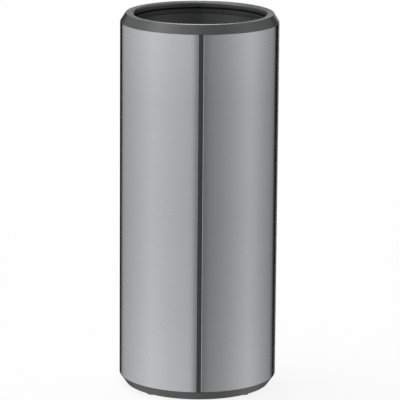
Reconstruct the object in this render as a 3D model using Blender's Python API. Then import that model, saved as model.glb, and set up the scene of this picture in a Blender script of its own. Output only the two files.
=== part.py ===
"""Round umbrella stand: four steel panels between two rings, with a sleeve and a drip tray.

Metres, +Z up, origin on the floor at the centre of the stand. The front is -Y, and the first
joint strip stands there. Sizes marked "radius" are counted from the stand's own axis.
"""

import math

import bmesh
import bpy
from mathutils import Vector

# Driving dimensions.
BODY_RADIUS = 0.125
HEIGHT = 0.600
MOUTH_RADIUS = 0.1042
FOOT_PROUD = 0.003
SHEET = 0.0008
GAP = 0.0003
STATIONS = 4
STRIP_FACE = 0.006
SCREW_RADIUS_ON_RING = 0.1099

# The two rings, whose chamfers meet the panels.
BASE_CHAMFER_HEIGHT = 0.0144
BASE_CHAMFER_INSET = 0.0102
TOP_CHAMFER_HEIGHT = 0.0137
TOP_CHAMFER_INSET = 0.0087
DECK_Z = FOOT_PROUD + BASE_CHAMFER_HEIGHT
BRIM_Z = HEIGHT - TOP_CHAMFER_HEIGHT
RIB_OUTER = 0.1237
RIB_INNER = 0.1217
RIB_HEIGHT = 0.0125
GUSSET = 0.003

# Top ring and the frame ring under it.
LIP_HEIGHT = 0.0083
LIP_WALL = 0.0022
LIP_ROUND = 0.0035
LIP_ROUND_STEPS = 4
CAP_DECK = 0.0024
SKIRT_FOOT = 0.0026
CAP_RIB_INNER = 0.1154
CAP_RIB_OUTER = 0.1172
RIM_FOOT_Z = 0.5819
RIM_OUTER = 0.1066
FRAME_DECK = 0.0025
FRAME_RIB_INNER = 0.1134
FRAME_RIB_OUTER = 0.1151
FRAME_RIB_TOP_Z = 0.5965

# Base ring, base plate and feet.
BASE_RING_INNER = 0.092
PLATE_SEAT = 0.1047
PLATE_SEAT_Z = 0.008
PLATE_RADIUS = 0.1044
PLATE_THICKNESS = 0.003
PILOT_DEPTH = 0.004
CORE_INNER = 0.096
CORE_OUTER = 0.1105
CORE_ROOF = 0.0058
CORE_OFFSET = math.radians(26)
CORE_SWEEP = math.radians(22)
CORE_STEPS = 4
FOOT_RADIUS = 0.008
FOOT_CHAMFER = 0.0008
FOOT_HEIGHT = 0.005
FOOT_CIRCLE = 0.103
PLATE_SCREW_CIRCLE = 0.098

# Sleeve and drip tray.
SLEEVE_INNER = 0.1052
SLEEVE_WALL = 0.0012
TRAY_RADIUS = 0.1025
TRAY_HEIGHT = 0.056
TRAY_WALL = 0.002
TRAY_FLOOR_RADIUS = 0.094
TRAY_FOOT_INNER = 0.080
TRAY_FOOT_OUTER = 0.084
TRAY_FOOT_HEIGHT = 0.0022
TRAY_KNEE = 0.0025
TRAY_BRIM = 0.0015
TRAY_BED_OUTER = 0.0945
TRAY_BED_INNER = 0.0925

# Panels.
RETURN_EDGE = 0.116
BEND = 0.0007
BEND_STEPS = 3
ARC_STEPS = 16

# Joint strip, an extrusion: stem, slots, legs and screw port.
SLOT_FLOOR = 0.115
SLOT_WIDTH = 0.0014
LEG = 0.0012
LEG_TIP = 0.1195
STRIP_BACK = 0.1132
PORT_RADIUS = 0.0032
PORT_BORE = 0.0021
PORT_NECK = 0.001
PORT_MOUTH = math.radians(150)
PORT_LIP = math.radians(15)
PORT_STEPS = 5

# Screws: all have a shank of this radius, in holes of the next.
SHANK_RADIUS = 0.00175
HOLE_RADIUS = 0.0021
HEAD_RADIUS = 0.003
HEAD_HEIGHT = 0.002
HEAD_CROWN_RADIUS = 0.0021
HEAD_BROW = 0.0009
TIP_RADIUS = 0.0005
STRIP_SCREW_LENGTH = 0.028
FRAME_SCREW_LENGTH = 0.018
PLATE_SCREW_LENGTH = 0.0075
HEAD_RECESS_RADIUS = 0.0036
HEAD_RECESS_DEPTH = 0.003

RING_STEPS = 64
TRAY_STEPS = 48
FOOT_STEPS = 24
SCREW_STEPS = 16
SMOOTH_ANGLE = math.radians(30)
MERGE = 1e-6
OVERCUT = 0.002
SIDES = ("front", "right", "rear", "left")
FRONT_TURN = -math.pi / 2
STATION_STEP = 2 * math.pi / STATIONS


def clear_scene():
    """Remove whatever the file starts with."""
    for thing in list(bpy.data.objects):
        bpy.data.objects.remove(thing)


def finish(name, colour, roughness, metallic=0.0):
    """A Principled material with one colour."""
    made = bpy.data.materials.new(name)
    made.use_nodes = True
    shader = made.node_tree.nodes["Principled BSDF"]
    shader.inputs["Base Color"].default_value = (*colour, 1.0)
    shader.inputs["Roughness"].default_value = roughness
    shader.inputs["Metallic"].default_value = metallic
    return made


def place(name, mesh, parent, radius=0.0, turn=0.0, height=0.0):
    """One object on the stand, at a radius and height, turned about the stand's axis."""
    thing = bpy.data.objects.new(name, mesh)
    thing.parent = parent
    thing.location = (*at_turn(radius, 0.0, turn), height)
    thing.rotation_euler = (0.0, 0.0, turn)
    bpy.context.collection.objects.link(thing)
    return thing


def mesh_from(bm, name, look):
    """Turn a bmesh into a smooth-shaded mesh with its faces pointing outwards."""
    bmesh.ops.recalc_face_normals(bm, faces=bm.faces)
    mesh = bpy.data.meshes.new(name)
    bm.to_mesh(mesh)
    bm.free()
    mesh.shade_smooth()
    mesh.set_sharp_from_angle(angle=SMOOTH_ANGLE)
    if look is not None:
        mesh.materials.append(look)
    return mesh


def spin_outline(bm, outline, steps, centre=(0.0, 0.0)):
    """Turn an outline of (radius, height) points a whole turn about an upright axis.

    An outline that starts and ends on the axis closes there with one flat face at each end.
    """
    x, y = centre
    points = [bm.verts.new((x + radius, y, height)) for radius, height in outline]
    edges = [bm.edges.new(pair) for pair in zip(points, points[1:])]
    if outline[0][0] > 0.0:
        edges.append(bm.edges.new((points[-1], points[0])))
    bmesh.ops.spin(
        bm,
        geom=points + edges,
        cent=(x, y, 0.0),
        axis=(0.0, 0.0, 1.0),
        angle=2 * math.pi,
        steps=steps,
        use_merge=True,
    )
    bmesh.ops.remove_doubles(bm, verts=bm.verts, dist=MERGE)
    axis = Vector(centre)
    poles = [vertex for vertex in bm.verts if (vertex.co.xy - axis).length < MERGE]
    bmesh.ops.dissolve_verts(bm, verts=poles)


def turned(name, outline, steps, look=None):
    """A turned piece from an outline that is a loop, or that starts and ends on the axis."""
    bm = bmesh.new()
    spin_outline(bm, outline, steps)
    return mesh_from(bm, name, look)


def extrude_outline(bm, outline, bottom, top):
    """Extrude a closed outline of (x, y) points from one height to another."""
    face = bm.faces.new([bm.verts.new((x, y, bottom)) for x, y in outline])
    grown = bmesh.ops.extrude_face_region(bm, geom=[face], use_keep_orig=True)
    lifted = [item for item in grown["geom"] if isinstance(item, bmesh.types.BMVert)]
    bmesh.ops.translate(bm, verts=lifted, vec=(0.0, 0.0, top - bottom))


def arc(centre, radius, start, end, steps):
    """Points on an arc about a centre, from one angle to another."""
    points = []
    for step in range(steps + 1):
        angle = start + (end - start) * step / steps
        points.append((centre[0] + radius * math.cos(angle), centre[1] + radius * math.sin(angle)))
    return points


def sector_outline(inner, outer, middle, sweep, steps):
    """A closed ring sector in plan."""
    start = middle - sweep / 2
    end = middle + sweep / 2
    outside = arc((0.0, 0.0), outer, start, end, steps)
    inside = arc((0.0, 0.0), inner, end, start, steps)
    return outside + inside


def at_turn(x, y, turn):
    """A point in plan, turned about the stand's axis."""
    sine = math.sin(turn)
    cosine = math.cos(turn)
    return (x * cosine - y * sine, x * sine + y * cosine)


def cut(target, bm, name):
    """Take the shapes in a bmesh out of a piece."""
    cutter = bpy.data.objects.new(name, mesh_from(bm, name, None))
    cutter.hide_render = True
    cutter.display_type = "WIRE"
    bpy.context.collection.objects.link(cutter)
    boolean = target.modifiers.new(name, "BOOLEAN")
    boolean.operation = "DIFFERENCE"
    boolean.solver = "EXACT"
    boolean.object = cutter


def station_turns():
    """The turn of each joint strip about the axis, the front one first."""
    return [FRONT_TURN + STATION_STEP * station for station in range(STATIONS)]


def corner_turns():
    """The turns half-way between the strips."""
    return [turn + STATION_STEP / 2 for turn in station_turns()]


def add_notches(bm, bottom, top):
    """Blocks that clear a panel rib where each strip passes it."""
    half = STRIP_FACE / 2 + SLOT_WIDTH + LEG + 2 * GAP
    inner = RIB_INNER - GUSSET - OVERCUT / 2
    outer = RIB_OUTER + OVERCUT / 2
    block = [(inner, -half), (outer, -half), (outer, half), (inner, half)]
    for turn in station_turns():
        extrude_outline(bm, [at_turn(x, y, turn) for x, y in block], bottom, top)


def add_turned_cuts(bm, outline, radius, turns, steps=SCREW_STEPS):
    """One turned cutting shape at each turn, at a radius."""
    for turn in turns:
        spin_outline(bm, outline, steps, at_turn(radius, 0.0, turn))


def top_ring_mesh(look):
    """The chamfered cap: flat rim, inner lip, skirt, and a rib that clips over the frame ring."""
    slope = TOP_CHAMFER_INSET / TOP_CHAMFER_HEIGHT
    skirt = BODY_RADIUS - SKIRT_FOOT
    rib_join_z = BRIM_Z + (skirt - CAP_RIB_OUTER) / slope
    round_centre = (MOUTH_RADIUS + LIP_ROUND, HEIGHT - LIP_ROUND)
    outline = [(BODY_RADIUS, BRIM_Z), (BODY_RADIUS - TOP_CHAMFER_INSET, HEIGHT)]
    outline += arc(round_centre, LIP_ROUND, math.pi / 2, math.pi, LIP_ROUND_STEPS)
    outline += [
        (MOUTH_RADIUS, HEIGHT - LIP_HEIGHT),
        (MOUTH_RADIUS + LIP_WALL, HEIGHT - LIP_HEIGHT),
        (MOUTH_RADIUS + LIP_WALL, HEIGHT - CAP_DECK),
        (CAP_RIB_INNER, HEIGHT - CAP_DECK),
        (CAP_RIB_INNER, BRIM_Z + FRAME_DECK + GAP),
        (CAP_RIB_OUTER, BRIM_Z + FRAME_DECK + GAP),
        (CAP_RIB_OUTER, rib_join_z),
        (skirt, BRIM_Z),
    ]
    return turned("top_ring", outline, RING_STEPS, look)


def frame_ring_mesh(look):
    """The ring under the cap: inner rim, deck, clip rib, and a rib behind the panels."""
    deck_top = BRIM_Z + FRAME_DECK
    slope = TOP_CHAMFER_INSET / TOP_CHAMFER_HEIGHT
    shoulder = BODY_RADIUS - SKIRT_FOOT - 2 * GAP
    outline = [
        (MOUTH_RADIUS, RIM_FOOT_Z),
        (MOUTH_RADIUS, deck_top),
        (FRAME_RIB_INNER, deck_top),
        (FRAME_RIB_INNER, FRAME_RIB_TOP_Z),
        (FRAME_RIB_OUTER, FRAME_RIB_TOP_Z),
        (FRAME_RIB_OUTER, deck_top),
        (shoulder - slope * FRAME_DECK, deck_top),
        (shoulder, BRIM_Z - GAP),
        (RIB_OUTER, BRIM_Z - GAP),
        (RIB_OUTER, BRIM_Z - RIB_HEIGHT),
        (RIB_INNER, BRIM_Z - RIB_HEIGHT),
        (RIB_INNER, BRIM_Z - GUSSET),
        (RIB_INNER - GUSSET, BRIM_Z),
        (RIM_OUTER, BRIM_Z),
        (RIM_OUTER, RIM_FOOT_Z),
    ]
    return turned("top_frame_ring", outline, RING_STEPS, look)


def cut_frame_ring(ring):
    """Notches for the strips and clearance holes for their screws."""
    bm = bmesh.new()
    add_notches(bm, BRIM_Z - RIB_HEIGHT - OVERCUT, BRIM_Z + GAP)
    bottom = BRIM_Z - OVERCUT
    top = BRIM_Z + FRAME_DECK + OVERCUT
    hole = [(0.0, bottom), (HOLE_RADIUS, bottom), (HOLE_RADIUS, top), (0.0, top)]
    add_turned_cuts(bm, hole, SCREW_RADIUS_ON_RING, station_turns())
    cut(ring, bm, "frame_ring_cuts")


def base_ring_mesh(look):
    """The chamfered foot ring: deck for strips and sleeve, panel rib, and a seat for the plate."""
    outline = [
        (BODY_RADIUS - BASE_CHAMFER_INSET, FOOT_PROUD),
        (BODY_RADIUS, DECK_Z),
        (RIB_OUTER, DECK_Z),
        (RIB_OUTER, DECK_Z + RIB_HEIGHT),
        (RIB_INNER, DECK_Z + RIB_HEIGHT),
        (RIB_INNER, DECK_Z),
        (PLATE_SEAT, DECK_Z),
        (PLATE_SEAT, PLATE_SEAT_Z),
        (BASE_RING_INNER, PLATE_SEAT_Z),
        (BASE_RING_INNER, FOOT_PROUD),
    ]
    return turned("base_ring", outline, RING_STEPS, look)


def add_cores(bm):
    """Pockets that keep the ring's walls thin, one on each side of every foot."""
    for turn in corner_turns():
        for side in (-1, 1):
            middle = turn + side * CORE_OFFSET
            sector = sector_outline(CORE_INNER, CORE_OUTER, middle, CORE_SWEEP, CORE_STEPS)
            extrude_outline(bm, sector, FOOT_PROUD - OVERCUT, CORE_ROOF)


def cut_base_ring(ring):
    """Notches, screw holes, plate screw holes, foot recesses and cored pockets."""
    bm = bmesh.new()
    add_notches(bm, DECK_Z, DECK_Z + RIB_HEIGHT + OVERCUT)
    below = FOOT_PROUD - OVERCUT
    step = FOOT_PROUD + HEAD_RECESS_DEPTH
    above = DECK_Z + OVERCUT
    screw_way = [
        (0.0, below),
        (HEAD_RECESS_RADIUS, below),
        (HEAD_RECESS_RADIUS, step),
        (HOLE_RADIUS, step),
        (HOLE_RADIUS, above),
        (0.0, above),
    ]
    add_turned_cuts(bm, screw_way, SCREW_RADIUS_ON_RING, station_turns())
    seat = PLATE_SEAT_Z + OVERCUT
    pilot = PLATE_SEAT_Z - PILOT_DEPTH
    plate_hole = [(0.0, pilot), (HOLE_RADIUS, pilot), (HOLE_RADIUS, seat), (0.0, seat)]
    add_turned_cuts(bm, plate_hole, PLATE_SCREW_CIRCLE, station_turns())
    wide = FOOT_RADIUS + GAP
    roof = FOOT_HEIGHT + GAP
    recess = [(0.0, below), (wide, below), (wide, roof), (0.0, roof)]
    add_turned_cuts(bm, recess, FOOT_CIRCLE, corner_turns(), FOOT_STEPS)
    add_cores(bm)
    cut(ring, bm, "base_ring_cuts")


def base_plate_mesh(look):
    """The steel disc that closes the bottom and weighs the stand down."""
    low = PLATE_SEAT_Z + GAP
    high = low + PLATE_THICKNESS
    outline = [(0.0, low), (PLATE_RADIUS, low), (PLATE_RADIUS, high), (0.0, high)]
    return turned("base_plate", outline, RING_STEPS, look)


def cut_base_plate(plate):
    """Clearance holes for the plate screws."""
    bm = bmesh.new()
    bottom = PLATE_SEAT_Z - OVERCUT
    top = PLATE_SEAT_Z + PLATE_THICKNESS + OVERCUT
    hole = [(0.0, bottom), (HOLE_RADIUS, bottom), (HOLE_RADIUS, top), (0.0, top)]
    add_turned_cuts(bm, hole, PLATE_SCREW_CIRCLE, station_turns())
    cut(plate, bm, "base_plate_cuts")


def sleeve_mesh(look):
    """The thin inner tube between the two rings."""
    outer = SLEEVE_INNER + SLEEVE_WALL
    low = DECK_Z + GAP
    high = RIM_FOOT_Z - GAP
    outline = [(SLEEVE_INNER, low), (outer, low), (outer, high), (SLEEVE_INNER, high)]
    return turned("inner_sleeve", outline, RING_STEPS, look)


def tray_mesh(look):
    """The lift-out dish: foot ring, drafted wall and a turned-out rim. Its foot is at height 0."""
    floor = TRAY_FOOT_HEIGHT
    brim = TRAY_RADIUS - TRAY_BRIM
    bed = floor + TRAY_WALL
    outline = [
        (0.0, floor),
        (TRAY_FOOT_INNER, floor),
        (TRAY_FOOT_INNER, 0.0),
        (TRAY_FOOT_OUTER, 0.0),
        (TRAY_FOOT_OUTER, floor),
        (TRAY_FLOOR_RADIUS, floor),
        (TRAY_FLOOR_RADIUS + TRAY_KNEE, floor + TRAY_KNEE),
        (brim, TRAY_HEIGHT - TRAY_WALL),
        (TRAY_RADIUS, TRAY_HEIGHT - TRAY_WALL),
        (TRAY_RADIUS, TRAY_HEIGHT),
        (brim - TRAY_WALL, TRAY_HEIGHT),
        (TRAY_BED_OUTER, bed + TRAY_WALL),
        (TRAY_BED_INNER, bed),
        (0.0, bed),
    ]
    return turned("drip_tray", outline, TRAY_STEPS, look)


def foot_mesh(look):
    """A rubber foot, standing on height 0."""
    outline = [
        (0.0, 0.0),
        (FOOT_RADIUS - FOOT_CHAMFER, 0.0),
        (FOOT_RADIUS, FOOT_CHAMFER),
        (FOOT_RADIUS, FOOT_HEIGHT),
        (0.0, FOOT_HEIGHT),
    ]
    return turned("rubber_foot", outline, FOOT_STEPS, look)


def screw_mesh(name, length, upward, look):
    """A pan-head screw. The seat of its head is at height 0, and its shank runs up or down."""
    way = 1.0 if upward else -1.0
    outline = [
        (0.0, -way * HEAD_HEIGHT),
        (HEAD_CROWN_RADIUS, -way * HEAD_HEIGHT),
        (HEAD_RADIUS, -way * HEAD_BROW),
        (HEAD_RADIUS, 0.0),
        (SHANK_RADIUS, 0.0),
        (SHANK_RADIUS, way * (length - SHANK_RADIUS)),
        (TIP_RADIUS, way * length),
        (0.0, way * length),
    ]
    return turned(name, outline, SCREW_STEPS, look)


def panel_path():
    """Points along the middle of one panel's sheet, from the strip at 0 to the one at 90 degrees."""
    middle = BODY_RADIUS - SHEET / 2
    offset = STRIP_FACE / 2 + GAP + SHEET / 2
    bend_y = offset + BEND
    bend_x = math.sqrt((middle - BEND) ** 2 - bend_y**2)
    lean = math.atan2(bend_y, bend_x)
    start = [(RETURN_EDGE, offset)] + arc((bend_x, bend_y), BEND, -math.pi / 2, lean, BEND_STEPS)
    end = [(y, x) for x, y in reversed(start)]
    middle_arc = arc((0.0, 0.0), middle, lean, STATION_STEP - lean, ARC_STEPS)
    return start + middle_arc[1:-1] + end


def panel_mesh(look):
    """One panel as a sheet without thickness: a curved face with both edges bent inwards."""
    bottom = DECK_Z + GAP
    top = BRIM_Z - GAP
    bm = bmesh.new()
    points = [bm.verts.new((x, y, bottom)) for x, y in panel_path()]
    edges = [bm.edges.new(pair) for pair in zip(points, points[1:])]
    grown = bmesh.ops.extrude_edge_only(bm, edges=edges)
    lifted = [item for item in grown["geom"] if isinstance(item, bmesh.types.BMVert)]
    bmesh.ops.translate(bm, verts=lifted, vec=(0.0, 0.0, top - bottom))
    return mesh_from(bm, "panel", look)


def strip_outline():
    """The joint strip in plan: its stem towards +X, its screw port towards the axis."""
    stem = STRIP_FACE / 2
    leg_inner = stem + SLOT_WIDTH
    leg_outer = leg_inner + LEG
    port = (SCREW_RADIUS_ON_RING, 0.0)
    neck = math.asin(PORT_NECK / PORT_RADIUS)
    half = [
        (BODY_RADIUS, stem),
        (SLOT_FLOOR, stem),
        (SLOT_FLOOR, leg_inner),
        (LEG_TIP, leg_inner),
        (LEG_TIP, leg_outer),
        (STRIP_BACK, leg_outer),
        (STRIP_BACK, PORT_NECK),
    ]
    half += arc(port, PORT_RADIUS, neck, PORT_MOUTH, PORT_STEPS)
    half += arc(port, PORT_BORE, PORT_MOUTH, PORT_LIP, PORT_STEPS)
    return half + [(x, -y) for x, y in reversed(half)]


def strip_mesh(look):
    """The joint strip, as long as the panels."""
    bm = bmesh.new()
    extrude_outline(bm, strip_outline(), DECK_Z + GAP, BRIM_Z - GAP)
    return mesh_from(bm, "joint_strip", look)


def add_rings(parent, plastic):
    """Top ring, frame ring and base ring."""
    place("top_ring", top_ring_mesh(plastic), parent)
    frame_ring = place("top_frame_ring", frame_ring_mesh(plastic), parent)
    cut_frame_ring(frame_ring)
    base_ring = place("base_ring", base_ring_mesh(plastic), parent)
    cut_base_ring(base_ring)


def add_panels(parent, steel):
    """The four panels, each between two strips."""
    names = ("panel_front_right", "panel_rear_right", "panel_rear_left", "panel_front_left")
    mesh = panel_mesh(steel)
    for name, turn in zip(names, station_turns()):
        panel = place(name, mesh, parent, turn=turn)
        thickness = panel.modifiers.new("sheet", "SOLIDIFY")
        thickness.thickness = SHEET
        thickness.offset = 0.0
        thickness.use_even_offset = True


def add_strips(parent, plastic, zinc):
    """The joint strips and the screws at both ends of each."""
    strip = strip_mesh(plastic)
    lower = screw_mesh("strip_screw_lower", STRIP_SCREW_LENGTH, True, zinc)
    upper = screw_mesh("strip_screw_upper", FRAME_SCREW_LENGTH, False, zinc)
    lower_seat = FOOT_PROUD + HEAD_RECESS_DEPTH - GAP
    upper_seat = BRIM_Z + FRAME_DECK + GAP
    radius = SCREW_RADIUS_ON_RING
    for side, turn in zip(SIDES, station_turns()):
        place("joint_strip_" + side, strip, parent, turn=turn)
        place("strip_screw_lower_" + side, lower, parent, radius, turn, lower_seat)
        place("strip_screw_upper_" + side, upper, parent, radius, turn, upper_seat)


def add_base(parent, steel, zinc, rubber):
    """Base plate, its screws and the four feet."""
    plate = place("base_plate", base_plate_mesh(steel), parent)
    cut_base_plate(plate)
    screw = screw_mesh("plate_screw", PLATE_SCREW_LENGTH, False, zinc)
    seat = PLATE_SEAT_Z + PLATE_THICKNESS + 2 * GAP
    for side, turn in zip(SIDES, station_turns()):
        place("plate_screw_" + side, screw, parent, PLATE_SCREW_CIRCLE, turn, seat)
    foot = foot_mesh(rubber)
    corners = ("front_right", "rear_right", "rear_left", "front_left")
    for corner, turn in zip(corners, corner_turns()):
        place("rubber_foot_" + corner, foot, parent, FOOT_CIRCLE, turn)


def add_inside(parent, plastic, tray_plastic):
    """The sleeve, and the tray that lifts out along the axis."""
    place("inner_sleeve", sleeve_mesh(plastic), parent)
    rest = PLATE_SEAT_Z + PLATE_THICKNESS + 2 * GAP
    place("drip_tray", tray_mesh(tray_plastic), parent, height=rest)


def main():
    """Build the stand."""
    clear_scene()
    stand = bpy.data.objects.new("stand", None)
    bpy.context.collection.objects.link(stand)
    ring_plastic = finish("ring_plastic", (0.075, 0.079, 0.078), 0.42)
    strip_plastic = finish("strip_plastic", (0.035, 0.038, 0.040), 0.40)
    sleeve_plastic = finish("sleeve_plastic", (0.045, 0.047, 0.047), 0.38)
    tray_plastic = finish("tray_plastic", (0.040, 0.041, 0.042), 0.45)
    brushed = finish("brushed_steel", (0.62, 0.63, 0.64), 0.30, 1.0)
    plate_steel = finish("plate_steel", (0.10, 0.10, 0.11), 0.55, 0.2)
    zinc = finish("zinc_plated", (0.66, 0.67, 0.69), 0.35, 1.0)
    rubber = finish("rubber", (0.020, 0.020, 0.021), 0.85)
    add_rings(stand, ring_plastic)
    add_panels(stand, brushed)
    add_strips(stand, strip_plastic, zinc)
    add_base(stand, plate_steel, zinc, rubber)
    add_inside(stand, sleeve_plastic, tray_plastic)


main()
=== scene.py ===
"""Finished looks of the round umbrella stand: brushed panels between dark moulded rings.

Metres, +Z up, the stand's axis through the origin and the front strip towards -Y. Heights and
outer radii come from the frame; each class holds the sizes that the frame doesn't give.
"""

import logging
import math
from collections.abc import Iterable, Sequence
from dataclasses import dataclass
from enum import Enum
from typing import Any

import bmesh
import bpy
from mathutils import Matrix, Vector


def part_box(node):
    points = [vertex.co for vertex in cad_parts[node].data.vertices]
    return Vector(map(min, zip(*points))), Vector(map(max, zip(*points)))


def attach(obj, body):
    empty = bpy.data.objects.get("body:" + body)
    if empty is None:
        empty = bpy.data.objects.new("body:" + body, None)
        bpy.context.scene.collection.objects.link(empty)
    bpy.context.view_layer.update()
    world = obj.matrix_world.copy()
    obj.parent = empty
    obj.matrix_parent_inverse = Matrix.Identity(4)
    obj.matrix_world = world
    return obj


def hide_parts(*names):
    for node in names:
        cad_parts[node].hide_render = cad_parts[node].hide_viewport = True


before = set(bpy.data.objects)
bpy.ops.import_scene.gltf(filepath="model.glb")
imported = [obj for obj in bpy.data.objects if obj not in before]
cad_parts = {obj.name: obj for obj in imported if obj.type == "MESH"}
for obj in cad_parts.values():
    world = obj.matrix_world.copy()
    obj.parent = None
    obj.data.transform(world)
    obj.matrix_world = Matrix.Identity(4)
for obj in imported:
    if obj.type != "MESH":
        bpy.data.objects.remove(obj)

log = logging.getLogger("umbrella_stand")

SHEET_UV = "sheet"

# The room between touching pieces, the merging distance, how far a cutter runs past the face that
# it cuts, the step of a rounded corner, and the radius at which a turned piece's map is laid out.
GAP = 0.0003
MERGE = 1e-6
OVERCUT = 0.002
EASE_STEP = 0.00035
ROUND_MAP_RADIUS = 0.1

# Edges that turn by more than CREASE look sharp, and a face that looks up more than LEVEL_FACE is
# mapped as a level one.
CREASE = math.radians(30)
LEVEL_FACE = 0.7

# Steps in a whole turn, and the fewest and most of a rounded corner.
RING_STEPS = 256
TRAY_STEPS = 192
FOOT_STEPS = 64
SCREW_STEPS = 24
LEAST_EASE_STEPS = 2
MOST_EASE_STEPS = 8

Colour = tuple[float, float, float]
Levels = tuple[tuple[float, float], ...]

WHITE: Colour = (1.0, 1.0, 1.0)


class Body(Enum):
    """The two bodies of the frame that pieces ride on."""

    STAND = "stand"
    TRAY = "tray"


class Side(Enum):
    """The four places round the stand where a joint strip stands."""

    FRONT = 0
    RIGHT = 1
    REAR = 2
    LEFT = 3

    @property
    def label(self) -> str:
        """The side's name as the frame writes it."""
        return self.name.lower()

    @property
    def turn(self) -> float:
        """The side's angle about the stand's axis, from +X."""
        return math.radians(90 * self.value - 90)


class Quarter(Enum):
    """The four quarters between the joint strips."""

    FRONT_RIGHT = 0
    REAR_RIGHT = 1
    REAR_LEFT = 2
    FRONT_LEFT = 3

    @property
    def label(self) -> str:
        """The quarter's name as the frame writes it."""
        return self.name.lower()

    @property
    def turn(self) -> float:
        """The angle of the middle of the quarter about the stand's axis, from +X."""
        return math.radians(90 * self.value - 45)


class Plane(Enum):
    """The plane in which an outline is drawn."""

    SECTION = "radius and height"
    PLAN = "x and y"

    def point(self, first: float, second: float) -> Vector:
        """A point of an outline in space.

        Args:
            first: Radius in a section, x in plan.
            second: Height in a section, y in plan.

        Returns:
            The point, with a section drawn above the X axis.
        """
        if self is Plane.SECTION:
            return Vector((first, 0.0, second))
        return Vector((first, second, 0.0))


class Joinery(Enum):
    """How further shapes meet a body."""

    CUT = "DIFFERENCE"
    FUSE = "UNION"


@dataclass(frozen=True)
class Corner:
    """One corner of an outline, eased over a distance along both of its edges."""

    first: float
    second: float
    ease: float = 0.0


@dataclass(frozen=True)
class Span:
    """The room that a node of the frame takes."""

    low: Vector
    high: Vector

    @classmethod
    def of(cls, node: str) -> "Span":
        """Measure a node of the frame.

        Args:
            node: The node's name.

        Returns:
            Its lowest and highest corners.
        """
        return cls(*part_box(node))

    @property
    def radius(self) -> float:
        """Half of the width along X."""
        return (self.high.x - self.low.x) / 2

    @property
    def centre(self) -> Vector:
        """The middle of the span in plan, at height 0."""
        middle = (self.low + self.high) / 2
        return Vector((middle.x, middle.y, 0.0))


# Modelling.


def draw_wire(outline: Sequence[Corner], plane: Plane, closed: bool = True) -> bmesh.types.BMesh:
    """Draw an outline as edges and round its corners.

    Args:
        outline: The corners in order.
        plane: The plane that they lie in.
        closed: Whether the last corner joins the first.

    Returns:
        A bmesh that holds the wire.
    """
    bm = bmesh.new()
    points = [bm.verts.new(plane.point(corner.first, corner.second)) for corner in outline]
    for pair in zip(points, points[1:]):
        bm.edges.new(pair)
    if closed:
        bm.edges.new((points[-1], points[0]))
    for ease in sorted({corner.ease for corner in outline} - {0.0}):
        eased = [point for point, corner in zip(points, outline) if corner.ease == ease]
        bmesh.ops.bevel(
            bm,
            geom=eased,
            offset=ease,
            offset_type="OFFSET",
            segments=min(MOST_EASE_STEPS, LEAST_EASE_STEPS + round(ease / EASE_STEP)),
            profile=0.5,
            affect="VERTICES",
            material=-1,
        )
    return bm


def turn_outline(
    outline: Sequence[Corner], steps: int, centre: Vector | None = None
) -> bmesh.types.BMesh:
    """Turn a section a whole turn about an upright axis.

    Args:
        outline: A closed section, or one that starts and ends on the axis.
        steps: The number of steps in the turn.
        centre: Where the axis stands in plan; the stand's own axis if it is left out.

    Returns:
        The closed shape. Where it meets the axis it has one flat face.
    """
    bm = draw_wire(outline, Plane.SECTION, closed=outline[0].first > 0.0)
    bmesh.ops.spin(
        bm,
        geom=bm.verts[:] + bm.edges[:],
        cent=(0.0, 0.0, 0.0),
        axis=(0.0, 0.0, 1.0),
        angle=2 * math.pi,
        steps=steps,
        use_merge=True,
    )
    bmesh.ops.remove_doubles(bm, verts=bm.verts, dist=MERGE)
    poles = [vertex for vertex in bm.verts if vertex.co.xy.length < MERGE]
    bmesh.ops.dissolve_verts(bm, verts=poles)
    if centre is not None:
        bmesh.ops.translate(bm, verts=bm.verts, vec=centre)
    bmesh.ops.recalc_face_normals(bm, faces=bm.faces)
    return bm


def extrude_plan(outline: Sequence[Corner], bottom: float, top: float) -> bmesh.types.BMesh:
    """Extrude a closed plan from one height to another.

    Args:
        outline: The corners in plan.
        bottom: The lower height.
        top: The upper height.

    Returns:
        The closed prism.
    """
    bm = draw_wire(outline, Plane.PLAN)
    bmesh.ops.translate(bm, verts=bm.verts, vec=(0.0, 0.0, bottom))
    filled = bmesh.ops.edgeloop_fill(bm, edges=bm.edges[:])
    grown = bmesh.ops.extrude_face_region(bm, geom=filled["faces"], use_keep_orig=True)
    lifted = [item for item in grown["geom"] if isinstance(item, bmesh.types.BMVert)]
    bmesh.ops.translate(bm, verts=lifted, vec=(0.0, 0.0, top - bottom))
    bmesh.ops.recalc_face_normals(bm, faces=bm.faces)
    return bm


def turn_about_axis(bm: bmesh.types.BMesh, turn: float) -> bmesh.types.BMesh:
    """Turn a whole shape about the stand's axis.

    Args:
        bm: The shape.
        turn: The angle.

    Returns:
        The same shape.
    """
    around = Matrix.Rotation(turn, 3, "Z")
    bmesh.ops.rotate(bm, verts=bm.verts, cent=(0.0, 0.0, 0.0), matrix=around)
    return bm


def arc(
    centre: tuple[float, float], radius: float, start: float, end: float, steps: int
) -> list[Corner]:
    """Corners along an arc.

    Args:
        centre: The arc's centre.
        radius: Its radius.
        start: The angle of its first corner.
        end: The angle of its last corner.
        steps: The number of edges between them.

    Returns:
        The corners, none of them eased.
    """
    angles = [start + (end - start) * step / steps for step in range(steps + 1)]
    return [
        Corner(centre[0] + radius * math.cos(angle), centre[1] + radius * math.sin(angle))
        for angle in angles
    ]


def bore_section(radius: float, bottom: float, top: float) -> list[Corner]:
    """Draw the section of a plain bore.

    Args:
        radius: The bore's radius.
        bottom: Its lower end.
        top: Its upper end.

    Returns:
        The section, from the axis back to the axis.
    """
    return [Corner(0.0, bottom), Corner(radius, bottom), Corner(radius, top), Corner(0.0, top)]


def on_circle(radius: float, turn: float) -> Vector:
    """A point in plan at a radius and an angle from the stand's axis."""
    return Vector((radius * math.cos(turn), radius * math.sin(turn), 0.0))


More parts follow.
